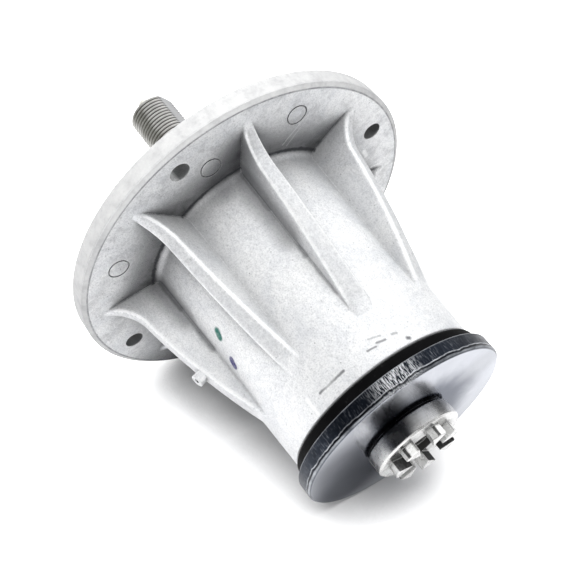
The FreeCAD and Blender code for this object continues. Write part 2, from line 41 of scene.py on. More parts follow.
# ---------------------------------------------------------------- node helpers
class Mat:
    """A small builder for one procedural material."""

    def __init__(self, name):
        self.mat = bpy.data.materials.new(name)
        self.mat.use_nodes = True
        self.nt = self.mat.node_tree
        self.nt.nodes.clear()
        self.out = self.nt.nodes.new("ShaderNodeOutputMaterial")
        self.bsdf = self.nt.nodes.new("ShaderNodeBsdfPrincipled")
        self.nt.links.new(self.bsdf.outputs[0], self.out.inputs[0])
        tc = self.nt.nodes.new("ShaderNodeTexCoord")
        self.obj = tc.outputs["Object"]
        self.own = tc.outputs["Normal"]
        self._cyl = None

    def put(self, socket, value):
        if value is None:
            return
        if isinstance(value, bpy.types.NodeSocket):
            self.nt.links.new(value, socket)
        else:
            socket.default_value = value

    def set(self, **values):
        for k, v in values.items():
            self.put(self.bsdf.inputs[k.replace("_", " ")], v)

    def math(self, op, a, b=None, c=None, clamp=False):
        n = self.nt.nodes.new("ShaderNodeMath")
        n.operation = op
        n.use_clamp = clamp
        for s, v in zip(n.inputs, (a, b, c)):
            self.put(s, v)
        return n.outputs[0]

    def vec(self, op, a, b=None, scale=None):
        n = self.nt.nodes.new("ShaderNodeVectorMath")
        n.operation = op
        self.put(n.inputs[0], a)
        if b is not None:
            self.put(n.inputs[1], b)
        if scale is not None:
            self.put(n.inputs["Scale"], scale)
        return n.outputs["Value"] if op in ("LENGTH", "DISTANCE", "DOT_PRODUCT") else n.outputs["Vector"]

    def split(self, v):
        n = self.nt.nodes.new("ShaderNodeSeparateXYZ")
        self.put(n.inputs[0], v)
        return n.outputs[0], n.outputs[1], n.outputs[2]

    def join(self, x, y, z):
        n = self.nt.nodes.new("ShaderNodeCombineXYZ")
        for s, v in zip(n.inputs, (x, y, z)):
            self.put(s, v)
        return n.outputs[0]

    def cyl(self):
        """Radius, height and the flat (x, y, 0) vector of the shaded point."""
        if self._cyl is None:
            x, y, z = self.split(self.obj)
            flat = self.join(x, y, 0.0)
            self._cyl = (self.vec("LENGTH", flat), z, x, y)
        return self._cyl

    def noise(self, vec, scale, detail=3.0, rough=0.55, distort=0.0, lac=2.0):
        n = self.nt.nodes.new("ShaderNodeTexNoise")
        self.put(n.inputs["Vector"], vec)
        n.inputs["Scale"].default_value = scale
        n.inputs["Detail"].default_value = detail
        n.inputs["Roughness"].default_value = rough
        n.inputs["Lacunarity"].default_value = lac
        n.inputs["Distortion"].default_value = distort
        return n.outputs[0]

    def voronoi(self, vec, scale, feature="F1", random=1.0):
        n = self.nt.nodes.new("ShaderNodeTexVoronoi")
        n.feature = feature
        self.put(n.inputs["Vector"], vec)
        n.inputs["Scale"].default_value = scale
        n.inputs["Randomness"].default_value = random
        return n.outputs["Distance"], n.outputs["Color"]

    def range(self, v, a, b, c=0.0, d=1.0, smooth=False):
        n = self.nt.nodes.new("ShaderNodeMapRange")
        n.interpolation_type = "SMOOTHSTEP" if smooth else "LINEAR"
        n.clamp = True
        for s, x in zip(n.inputs, (v, a, b, c, d)):
            self.put(s, x)
        return n.outputs[0]

    def ramp(self, fac, stops, mode="LINEAR"):
        n = self.nt.nodes.new("ShaderNodeValToRGB")
        n.color_ramp.interpolation = mode
        el = n.color_ramp.elements
        while len(el) > 1:
            el.remove(el[-1])
        el[0].position, el[0].color = stops[0][0], rgba(stops[0][1])
        for p, c in stops[1:]:
            e = el.new(p)
            e.color = rgba(c)
        self.put(n.inputs[0], fac)
        return n.outputs[0]

    def mix(self, fac, a, b, blend="MIX"):
        n = self.nt.nodes.new("ShaderNodeMix")
        n.data_type = "RGBA"
        n.blend_type = blend
        n.clamp_factor = True
        self.put(n.inputs["Factor"], fac)
        self.put(n.inputs[6], rgba(a) if isinstance(a, (tuple, float, int)) else a)
        self.put(n.inputs[7], rgba(b) if isinstance(b, (tuple, float, int)) else b)
        return n.outputs[2]

    def mixf(self, fac, a, b):
        n = self.nt.nodes.new("ShaderNodeMix")
        n.data_type = "FLOAT"
        self.put(n.inputs["Factor"], fac)
        self.put(n.inputs[2], a)
        self.put(n.inputs[3], b)
        return n.outputs[0]

    def bevel(self, radius, samples=4):
        n = self.nt.nodes.new("ShaderNodeBevel")
        n.samples = samples
        self.put(n.inputs["Radius"], radius)
        return n.outputs[0]

    def edge(self, radius, lo=0.02, hi=0.25):
        """1 on sharp edges, 0 on flat ground; callers lighten these edges as wear and painted highlight."""
        g = self.nt.nodes.new("ShaderNodeNewGeometry")
        d = self.vec("DOT_PRODUCT", self.bevel(radius), g.outputs["Normal"])
        return self.range(self.math("SUBTRACT", 1.0, d), lo, hi)

    def bump(self, height, strength, distance, normal=None):
        n = self.nt.nodes.new("ShaderNodeBump")
        n.inputs["Strength"].default_value = strength
        n.inputs["Distance"].default_value = distance
        self.put(n.inputs["Height"], height)
        if normal is not None:
            self.put(n.inputs["Normal"], normal)
        return n.outputs[0]

    def ao(self, distance, samples=6, inside=False):
        n = self.nt.nodes.new("ShaderNodeAmbientOcclusion")
        n.samples = samples
        n.inside = inside
        n.inputs["Distance"].default_value = distance
        return n.outputs["AO"]

    def segment(self, a, b, width, soft=0.4, wobble=None):
        """Mask of a thin line from a to b on the surface, in metres."""
        a, b = Vector(a), Vector(b)
        d = b - a
        p = self.obj if wobble is None else wobble
        rel = self.vec("SUBTRACT", p, tuple(a))
        t = self.math("DIVIDE", self.vec("DOT_PRODUCT", rel, tuple(d)), d.length_squared, clamp=True)
        near = self.vec("SCALE", tuple(d), scale=t)
        dist = self.vec("DISTANCE", rel, near)
        return self.range(dist, width * (0.5 + soft), width * 0.5, 0.0, 1.0)


def rgba(c):
    if isinstance(c, (int, float)):
        return (c, c, c, 1.0)
    return tuple(c) if len(c) == 4 else (*c, 1.0)


def polar(phi, z, r):
    a = math.radians(phi)
    return (r * math.cos(a) / 1000, r * math.sin(a) / 1000, z / 1000)


def barrel_r(z):
    return 51.7 - (z - 10.2) * 4.7 / 108.8


# ---------------------------------------------------------------- cast aluminium
def cast_aluminium():
    m = Mat("cast_aluminium")
    r, z, x, y = m.cyl()
    grit = m.noise(m.obj, 1500, 3, 0.65)
    coarse = m.noise(m.obj, 520, 3, 0.6)
    cloud = m.noise(m.obj, 60, 4, 0.6, 0.6)
    cells, cell_col = m.voronoi(m.obj, 620)
    base = m.ramp(grit, [(0.26, (0.58, 0.585, 0.595)), (0.42, (0.80, 0.805, 0.81)), (0.58, (0.92, 0.923, 0.925)), (0.8, (0.99, 0.99, 0.99))])
    mid = m.ramp(coarse, [(0.28, (0.70, 0.705, 0.72)), (0.5, (0.90, 0.903, 0.91)), (0.7, (1.0, 1.0, 1.0))])
    col = m.mix(0.42, base, mid, "MULTIPLY")
    tone = m.ramp(cloud, [(0.3, (0.84, 0.85, 0.87)), (0.55, (1, 1, 1)), (0.8, (1, 1, 0.99))])
    col = m.mix(0.8, col, tone, "MULTIPLY")
    # small dark pits and flecks left by the casting
    fleck = m.math("MULTIPLY", m.range(cells, 0.24, 0.12), m.range(m.split(cell_col)[0], 0.93, 0.97))
    col = m.mix(m.math("MULTIPLY", fleck, 0.6), col, (0.15, 0.15, 0.155))
    # painted shade held in the corners between flange, barrel and ribs, deepest on the flange face
    blot = m.noise(m.obj, 260, 4, 0.7)
    specks = m.noise(m.obj, 1100, 2, 0.7)
    on_face = m.math("MULTIPLY", m.range(z, 0.0110, 0.0103), m.range(z, 0.0098, 0.0101))
    corner_shade = m.range(m.ao(0.034, 12), 0.96, 0.42, smooth=True)
    corner_shade = m.math("MULTIPLY", corner_shade, m.range(blot, 0.25, 0.75, 0.80, 1.0))
    corner_shade = m.math("MULTIPLY", corner_shade, m.mixf(on_face, 0.56, 0.98))
    inside = m.math("MAXIMUM", m.math("ABSOLUTE", x), m.math("ABSOLUTE", y))
    inside = m.vec("LENGTH", m.join(m.math("SUBTRACT", inside, 0.078), m.math("MINIMUM", m.math("ABSOLUTE", x), m.math("ABSOLUTE", y)), 0.0))
    corner_shade = m.math("MULTIPLY", corner_shade, m.mixf(m.math("MULTIPLY", m.range(inside, 0.0052, 0.0048), m.range(z, 0.0100, 0.0096)), 1.0, 0.90))
    col = m.mix(corner_shade, col, m.mix(on_face, (0.060, 0.061, 0.066), (0.034, 0.035, 0.038)))
    # painted shade inside the bolt holes, with a painted highlight on one lit wall
    in_hole = m.math("MULTIPLY", m.range(inside, 0.0052, 0.0049), m.math("MULTIPLY", m.range(z, 0.0099, 0.0096), m.range(z, 0.0002, 0.0005)))
    col = m.mix(m.math("MULTIPLY", in_hole, 0.60), col, (0.040, 0.042, 0.040))
    lit_wall = m.math("MULTIPLY", m.range(m.vec("DOT_PRODUCT", m.own, (-0.91, 0.41, 0.0)), 0.05, 0.45), m.range(y, -0.055, -0.065))
    col = m.mix(m.math("MULTIPLY", m.math("MULTIPLY", in_hole, lit_wall), 0.92), col, (0.97, 0.97, 0.97))
    mottle = m.noise(m.obj, 130, 5, 0.7, 0.4)
    col = m.mix(m.math("MULTIPLY", on_face, m.range(mottle, 0.52, 0.36, 0.0, 0.35)), col, (0.30, 0.30, 0.31))
    # painted shade: a ragged dark line where the root of the barrel runs out on the flange, and darkened creases
    dr = m.math("SUBTRACT", r, 0.0549)
    dz = m.math("SUBTRACT", z, 0.0104)
    root_line_shade = m.math("SQRT", m.math("ADD", m.math("MULTIPLY", dr, dr), m.math("MULTIPLY", dz, dz)))
    root_line_shade = m.math("ADD", root_line_shade, m.math("MULTIPLY", m.math("SUBTRACT", specks, 0.5), 0.0012))
    root_line_shade = m.math("ADD", root_line_shade, m.math("MULTIPLY", m.math("SUBTRACT", blot, 0.5), 0.0022))
    root_line_shade = m.math("MULTIPLY", m.range(root_line_shade, 0.0014, 0.0003, smooth=True), m.range(z, 0.0092, 0.0098))
    crease_shade = m.range(m.ao(0.0030, 8), 0.72, 0.30, smooth=True)
    crease_shade = m.math("MULTIPLY", crease_shade, m.range(specks, 0.30, 0.60, 0.55, 1.0))
    painted_shade_lines = m.math("MAXIMUM", m.math("MULTIPLY", root_line_shade, 0.93), m.math("MULTIPLY", crease_shade, 0.75))
    # painted shade along two of the rib roots and on the flange beside the middle rib
    warp = m.vec("ADD", m.obj, m.vec("SCALE", m.vec("SUBTRACT", m.nt_noise_color(180), (0.5, 0.5, 0.5)), scale=0.0012))
    for a, b, w, k in (
        (polar(249.7, 12.0, 52.0), polar(249.8, 34.0, 50.8), 0.0016, 0.70),
        (polar(249.8, 34.0, 50.8), polar(249.9, 62.0, 49.6), 0.0012, 0.58),
        (polar(249.9, 62.0, 49.6), polar(250.0, 84.0, 48.7), 0.0008, 0.40),
        (polar(249.8, 12.0, 54.5), polar(249.8, 50.0, 51.8), 0.0052, 0.50),
        (polar(249.6, 10.2, 68.9), polar(260.6, 10.2, 55.9), 0.0070, 0.48),
        (polar(329.1, 12.0, 54.0), polar(329.0, 36.0, 52.0), 0.0042, 0.45),
        (polar(329.1, 12.0, 52.0), polar(329.0, 30.0, 51.0), 0.0019, 0.74),
        (polar(329.0, 30.0, 51.0), polar(328.9, 56.0, 49.8), 0.0014, 0.60),
    ):
        painted_shade_lines = m.math("MAXIMUM", painted_shade_lines, m.math("MULTIPLY", m.segment(a, b, w, 1.4, warp), k))
    col = m.mix(painted_shade_lines, col, (0.055, 0.056, 0.062))
    # coarser dark grain towards the flange
    grain = m.math("MULTIPLY", m.range(m.noise(m.obj, 950, 2, 0.75), 0.50, 0.66), m.range(z, 0.060, 0.012, 0.0, 0.34))
    grain = m.math("MULTIPLY", grain, m.mixf(on_face, 1.0, 0.15))
    col = m.mix(grain, col, (0.24, 0.242, 0.25))
    # painted highlights along the two edges of each rib crest, painted shade on the flat of the crest between them
    bar = m.math("SUBTRACT", 0.0517, m.math("MULTIPLY", m.math("SUBTRACT", z, 0.0102), 0.0432))
    proud = m.math("SUBTRACT", r, bar)
    on_rib = m.math("MULTIPLY", m.range(proud, 0.0012, 0.0030), m.range(z, 0.0112, 0.0125))
    across = m.vec("DOT_PRODUCT", m.own, m.vec("NORMALIZE", m.join(m.math("MULTIPLY", y, -1.0), x, 0.0)))
    across = m.math("ABSOLUTE", across)
    crest_highlight = m.math("MULTIPLY", m.range(across, 0.42, 0.60), m.range(across, 0.94, 0.84))
    crest_shade = m.range(across, 0.42, 0.20)
    col = m.mix(m.math("MULTIPLY", m.math("MULTIPLY", crest_shade, on_rib), m.range(coarse, 0.3, 0.7, 0.42, 0.22)), col, (0.42, 0.425, 0.435))
    col = m.mix(m.math("MULTIPLY", m.math("MULTIPLY", crest_highlight, on_rib), m.range(coarse, 0.3, 0.6, 0.45, 0.85)), col, (0.97, 0.972, 0.975))
    # the turned rim of the flange is cleaner than the cast faces, with a dark line at its corner
    rimm = m.range(r, 0.08895, 0.0892)
    rim_col = m.ramp(m.noise(m.obj, 150, 4, 0.7), [(0.3, (0.43, 0.43, 0.435)), (0.5, (0.54, 0.54, 0.54)), (0.7, (0.61, 0.61, 0.605))])
    rim_col = m.mix(m.range(grit, 0.62, 0.75, 0.0, 0.35), rim_col, (0.45, 0.45, 0.46))
    rim_col = m.mix(m.range(coarse, 0.64, 0.78, 0.0, 0.5), rim_col, (0.40, 0.40, 0.41))
    col = m.mix(rimm, col, rim_col)
    corner = m.math("MULTIPLY", m.range(r, 0.0880, 0.0884), m.math("MULTIPLY", m.range(r, 0.0892, 0.0889), m.range(z, 0.0094, 0.0098)))
    col = m.mix(m.math("MULTIPLY", corner, m.range(blot, 0.3, 0.6, 0.35, 0.75)), col, (0.10, 0.10, 0.11))
    lip = m.math("MULTIPLY", m.range(r, 0.0898, 0.0903), m.math("MULTIPLY", m.range(z, 0.0080, 0.0084), m.range(z, 0.0094, 0.0090)))
    col = m.mix(m.math("MULTIPLY", lip, m.range(blot, 0.4, 0.65, 0.1, 0.5)), col, (0.35, 0.35, 0.36))
    faced = m.math("MULTIPLY", m.range(z, 0.0006, 0.0002), m.range(r, 0.0885, 0.0875))
    lathe = m.noise(m.join(r, 0.0, m.math("MULTIPLY", x, 0.01)), 2600, 2, 0.6)
    col = m.mix(faced, col, m.ramp(lathe, [(0.3, (0.50, 0.505, 0.51)), (0.5, (0.66, 0.665, 0.67)), (0.7, (0.76, 0.765, 0.77))]))
    # edge wear and painted highlights: sharp edges and crests are lightened
    edge = m.edge(0.0010, 0.03, 0.3)
    edge = m.math("MULTIPLY", edge, m.math("SUBTRACT", 1.0, painted_shade_lines, clamp=True))
    col = m.mix(m.math("MULTIPLY", edge, m.range(coarse, 0.3, 0.6, 0.2, 0.7)), col, (0.95, 0.955, 0.96))
    # handling marks on the barrel
    marks = [
        (polar(287.7, 112.0, 47.3), polar(271.4, 112.1, 47.3), 0.0005, 0.8),
        (polar(256.7, 111.8, 47.3), polar(252.0, 112.3, 47.3), 0.0004, 0.7),
        (polar(250.3, 111.2, 47.3), polar(246.1, 112.0, 47.3), 0.0005, 0.7),
        (polar(252.5, 107.8, 47.5), polar(246.5, 109.2, 47.4), 0.0004, 0.45),
        (polar(241.2, 111.5, 47.3), polar(239.0, 111.9, 47.3), 0.0005, 0.5),
        (polar(235.9, 116.0, 47.1), polar(235.2, 116.3, 47.1), 0.0008, 0.85),
    ]
    for a, b, w, k in marks:
        col = m.mix(m.math("MULTIPLY", m.segment(a, b, w, 1.2, warp), k), col, (0.09, 0.09, 0.10))
    for a, b, w, k in (
        (polar(226.7, 10.2, 58.7), polar(219.2, 10.2, 75.7), 0.0003, 0.34),
        (polar(224.0, 10.2, 57.6), polar(220.5, 10.2, 67.1), 0.00025, 0.28),
        (polar(158.8, 10.2, 73.4), polar(157.9, 10.2, 80.5), 0.0006, 0.5),
        (polar(172.3, 10.2, 70.4), polar(168.2, 10.2, 70.8), 0.0010, 0.6),
    ):
        col = m.mix(m.math("MULTIPLY", m.segment(a, b, w, 1.0, warp), k), col, (0.93, 0.93, 0.93))
    bright = m.segment(polar(295.6, 109.7, 47.4), polar(295.3, 117.4, 47.1), 0.0007, 1.0, warp)
    col = m.mix(m.math("MULTIPLY", bright, 0.8), col, (0.97, 0.97, 0.97))
    # two dabs of inspection ink
    inked = 0.0
    for a, b, w, ink in (
        (polar(314.2, 55.6, 49.7), polar(315.9, 58.0, 49.6), 0.0030, (0.012, 0.13, 0.10)),
        (polar(320.9, 68.9, 49.2), polar(322.0, 71.4, 49.0), 0.0027, (0.020, 0.012, 0.13)),
    ):
        body = m.segment(a, b, w, 0.30, warp)
        patchy = m.range(coarse, 0.30, 0.55, 0.72, 1.0)
        col = m.mix(m.math("MULTIPLY", body, patchy), col, ink)
        inked = m.math("MAXIMUM", body, inked)
    rough = m.math("ADD", m.range(grit, 0.3, 0.7, 0.48, 0.64), m.math("MULTIPLY", painted_shade_lines, 0.25))
    rough = m.math("SUBTRACT", rough, m.math("MULTIPLY", rimm, 0.06))
    h = m.math("ADD", m.math("MULTIPLY", grit, 0.45), m.math("ADD", m.math("MULTIPLY", coarse, 0.8), m.math("MULTIPLY", cloud, 1.6)))
    # corners are rounded less round the bolt holes, the rings and the vent boss
    ax, ay = m.math("ABSOLUTE", x), m.math("ABSOLUTE", y)
    far, near = m.math("MAXIMUM", ax, ay), m.math("MINIMUM", ax, ay)
    hole = m.vec("LENGTH", m.join(m.math("SUBTRACT", far, 0.078), near, 0.0))
    vent = m.vec("DISTANCE", m.obj, polar(334.4, 63.0, 62.0))
    soft = m.math("MULTIPLY", m.range(hole, 0.0060, 0.0085), m.range(vent, 0.0060, 0.0080))
    soft = m.math("MULTIPLY", soft, m.range(z, 0.0100, 0.0106))
    soft = m.math("MULTIPLY", soft, m.range(proud, 0.0040, 0.0070, 1.0, 0.25))
    nrm = m.bump(h, 0.65, 0.0005, m.bevel(m.range(soft, 0.0, 1.0, 0.0003, 0.0017), 6))
    m.set(Base_Color=col, Metallic=m.mixf(inked, m.mixf(rimm, 0.50, 0.15), 0.0), Roughness=rough, Normal=nrm)
    return m.mat


def nt_noise_color(self, scale):
    n = self.nt.nodes.new("ShaderNodeTexNoise")
    self.put(n.inputs["Vector"], self.obj)
    n.inputs["Scale"].default_value = scale
    n.inputs["Detail"].default_value = 2.0
    return n.outputs["Color"]


Mat.nt_noise_color = nt_noise_color


# ---------------------------------------------------------------- turned and forged steel of the shaft
def shaft_steel():
    m = Mat("machined_steel")
    r, z, x, y = m.cyl()
    rings = m.join(m.math("MULTIPLY", r, 1.0), m.math("MULTIPLY", z, 1.0), m.math("MULTIPLY", x, 0.03))
    turned = m.noise(rings, 2600, 2, 0.6)
    blotch = m.noise(m.obj, 150, 4, 0.62, 0.5)
    fine = m.noise(m.obj, 900, 3, 0.6)
    head = m.range(z, 0.118, 0.128)
    bright = m.ramp(blotch, [(0.25, (0.46, 0.455, 0.44)), (0.45, (0.66, 0.655, 0.645)), (0.7, (0.80, 0.80, 0.795))])
    dull = m.ramp(blotch, [(0.25, (0.50, 0.49, 0.465)), (0.5, (0.66, 0.65, 0.625)), (0.75, (0.78, 0.77, 0.75))])
    col = m.mix(head, dull, bright)
    col = m.mix(0.35, col, m.ramp(turned, [(0.3, 0.55), (0.5, 0.9), (0.7, 1.0)]), "MULTIPLY")
    # the thread valleys are darkened
    valley = m.math("MULTIPLY", m.range(r, 0.01215, 0.01165), m.range(z, -0.045, -0.050))
    col = m.mix(m.math("MULTIPLY", valley, 0.88), col, (0.035, 0.034, 0.028))
    # painted shade, olive-tinted, on one side of the thread
    thread_side_shade = m.math("ABSOLUTE", m.math("SUBTRACT", m.math("MULTIPLY", y, math.cos(math.radians(301))), m.math("MULTIPLY", x, math.sin(math.radians(301)))))
    thread_side_shade = m.math("ADD", thread_side_shade, m.math("MULTIPLY", m.math("SUBTRACT", blotch, 0.5), 0.006))
    thread_side_shade = m.math("MULTIPLY", m.range(thread_side_shade, 0.0062, 0.0020, smooth=True), m.math("MULTIPLY", m.range(z, -0.046, -0.052), m.range(m.math("SUBTRACT", m.math("MULTIPLY", x, 0.515), m.math("MULTIPLY", y, 0.857)), 0.0, 0.002)))
    col = m.mix(m.math("MULTIPLY", thread_side_shade, 0.62), col, (0.10, 0.10, 0.075))
    # painted shade: the relief cut between hub and disc is painted black
    undercut_shade = m.math("MULTIPLY", m.range(r, 0.0205, 0.0200), m.math("MULTIPLY", m.range(z, 0.1331, 0.1334), m.range(z, 0.1349, 0.1347)))
    col = m.mix(undercut_shade, col, (0.012, 0.012, 0.013))
    # painted shade in the corners of the drive slots
    crease_shade = m.math("MULTIPLY", m.range(m.ao(0.004, 6), 0.6, 0.3, smooth=True), m.range(z, 0.1365, 0.1375))
    col = m.mix(m.math("MULTIPLY", crease_shade, m.range(fine, 0.3, 0.6, 0.35, 0.8)), col, (0.05, 0.048, 0.045))
    # painted shade inside the bolt hole and between the teeth, lighter on the thread crests
    hole = m.math("MULTIPLY", m.range(r, 0.0074, 0.0068), m.range(z, 0.1478, 0.1464))
    hole = m.math("MAXIMUM", hole, m.math("MULTIPLY", m.range(r, 0.0096, 0.0086), m.range(z, 0.1446, 0.1436)))
    crest = m.math("MULTIPLY", m.range(r, 0.00500, 0.00490), m.range(z, 0.1422, 0.1418))
    col = m.mix(m.math("MULTIPLY", hole, m.mixf(crest, 0.97, 0.35)), col, (0.010, 0.010, 0.009))
    slot_shade = m.math("MULTIPLY", m.range(m.ao(0.009, 8), 0.86, 0.48, smooth=True), m.math("MULTIPLY", m.range(z, 0.1425, 0.1431), m.range(r, 0.0185, 0.0175)))
    col = m.mix(m.math("MULTIPLY", slot_shade, 0.60), col, (0.045, 0.043, 0.041))
    # painted shade on the slot walls facing one way, painted light on the walls facing another
    turn = m.vec("DOT_PRODUCT", m.own, (math.cos(math.radians(220)), math.sin(math.radians(220)), 0.0))
    wall_shade = m.math("MULTIPLY", m.range(turn, 0.70, 0.82), m.math("MULTIPLY", m.range(z, 0.1429, 0.1433), m.range(r, 0.0161, 0.0158)))
    col = m.mix(m.math("MULTIPLY", wall_shade, m.range(fine, 0.3, 0.7, 0.96, 0.80)), col, (0.022, 0.022, 0.023))
    turn2 = m.vec("DOT_PRODUCT", m.own, (math.cos(math.radians(308)), math.sin(math.radians(308)), 0.0))
    wall_light = m.math("MULTIPLY", m.range(turn2, 0.70, 0.76), m.math("MULTIPLY", m.range(z, 0.1429, 0.1433), m.range(r, 0.0161, 0.0158)))
    col = m.mix(m.math("MULTIPLY", wall_light, 0.9), col, m.ramp(blotch, [(0.3, (0.62, 0.62, 0.61)), (0.6, (0.80, 0.80, 0.79)), (0.8, (0.90, 0.90, 0.89))]))
    # painted reflections: light and dark bands across the outer faces of the teeth
    outer = m.math("MULTIPLY", m.range(r, 0.0160, 0.0162), m.math("MULTIPLY", m.range(r, 0.0168, 0.0165), m.range(z, 0.1430, 0.1434)))
    outer = m.math("MULTIPLY", outer, m.range(z, 0.1482, 0.14805))
    for az, half, shade, power in ((292.5, 1.2, 0.42, 0.7), (288.0, 0.74, 0.030, 0.95), (279.0, 1.42, 0.90, 0.95), (270.6, 0.45, 0.12, 0.8),
                                   (239.5, 1.5, 0.34, 0.8), (231.5, 0.75, 0.030, 0.95), (222.8, 1.35, 0.90, 0.95)):
        ca, sa = math.cos(math.radians(az)), math.sin(math.radians(az))
        off = m.math("ABSOLUTE", m.math("SUBTRACT", m.math("MULTIPLY", y, ca), m.math("MULTIPLY", x, sa)))
        off = m.math("ADD", off, m.math("MULTIPLY", m.math("SUBTRACT", fine, 0.5), 0.0004))
        reflection_band = m.math("MULTIPLY", m.range(off, half * 0.001 + 0.00012, half * 0.001 - 0.00012), m.range(m.math("ADD", m.math("MULTIPLY", x, ca), m.math("MULTIPLY", y, sa)), 0.0, 0.001))
        col = m.mix(m.math("MULTIPLY", m.math("MULTIPLY", reflection_band, outer), power), col, (shade, shade, shade * 0.985))
    # painted reflection: a dark patch on the side of the hub
    side_on = m.math("MULTIPLY", m.range(r, 0.0203, 0.0208), m.range(z, 0.1425, 0.1418))
    hub_dark_reflection = m.range(m.vec("DISTANCE", m.obj, polar(279.0, 138.2, 21.2)), 0.0105, 0.0045, smooth=True)
    col = m.mix(m.math("MULTIPLY", m.math("MULTIPLY", side_on, hub_dark_reflection), m.range(blotch, 0.3, 0.7, 0.82, 0.62)), col, (0.055, 0.060, 0.078))
    # the two flats of the pulley end are ground light
    flat = m.math("ABSOLUTE", m.math("ADD", m.math("MULTIPLY", x, math.cos(math.radians(15.0))), m.math("MULTIPLY", y, math.sin(math.radians(15.0)))))
    flat = m.math("MULTIPLY", m.range(flat, 0.01072, 0.01078), m.math("MULTIPLY", m.range(flat, 0.01088, 0.01082), m.range(z, -0.040, -0.045)))
    col = m.mix(flat, col, m.ramp(blotch, [(0.3, (0.36, 0.36, 0.365)), (0.6, (0.42, 0.42, 0.425)), (0.8, (0.48, 0.48, 0.48))]))
    # edge wear and painted highlights: sharp corners are lightened, less on the thread and not in the bore
    edge = m.math("MULTIPLY", m.math("MULTIPLY", m.edge(0.0004, 0.03, 0.3), m.math("SUBTRACT", 1.0, hole)), m.range(z, -0.045, 0.10, 0.25, 1.0))
    col = m.mix(m.math("MULTIPLY", edge, 0.75), col, (0.94, 0.94, 0.935))
    rough = m.mixf(head, m.range(fine, 0.3, 0.7, 0.34, 0.50), m.range(blotch, 0.3, 0.7, 0.20, 0.34))
    h = m.math("ADD", m.math("MULTIPLY", turned, 0.5), m.math("MULTIPLY", fine, 0.25))
    rough = m.mixf(hole, rough, 0.75)
    rough = m.mixf(flat, rough, 0.60)
    rough = m.mixf(wall_shade, rough, 0.85)
    shine = m.math("SUBTRACT", 0.5, m.math("MULTIPLY", m.math("MAXIMUM", wall_shade, hole), 0.45))
    metal = m.math("SUBTRACT", 1.0, m.math("MAXIMUM", hole, m.math("MAXIMUM", m.math("MULTIPLY", m.math("MAXIMUM", outer, wall_light), 0.7), m.math("MAXIMUM", m.math("MULTIPLY", wall_shade, 0.8), m.math("MULTIPLY", flat, 0.65)))))
    metal = m.math("MULTIPLY", metal, m.mixf(head, 0.55, 1.0))
    m.set(Base_Color=col, Metallic=metal, Roughness=rough, Specular_IOR_Level=shine, Normal=m.bump(h, 0.3, 0.0001, m.bevel(0.0003)))
    return m.mat


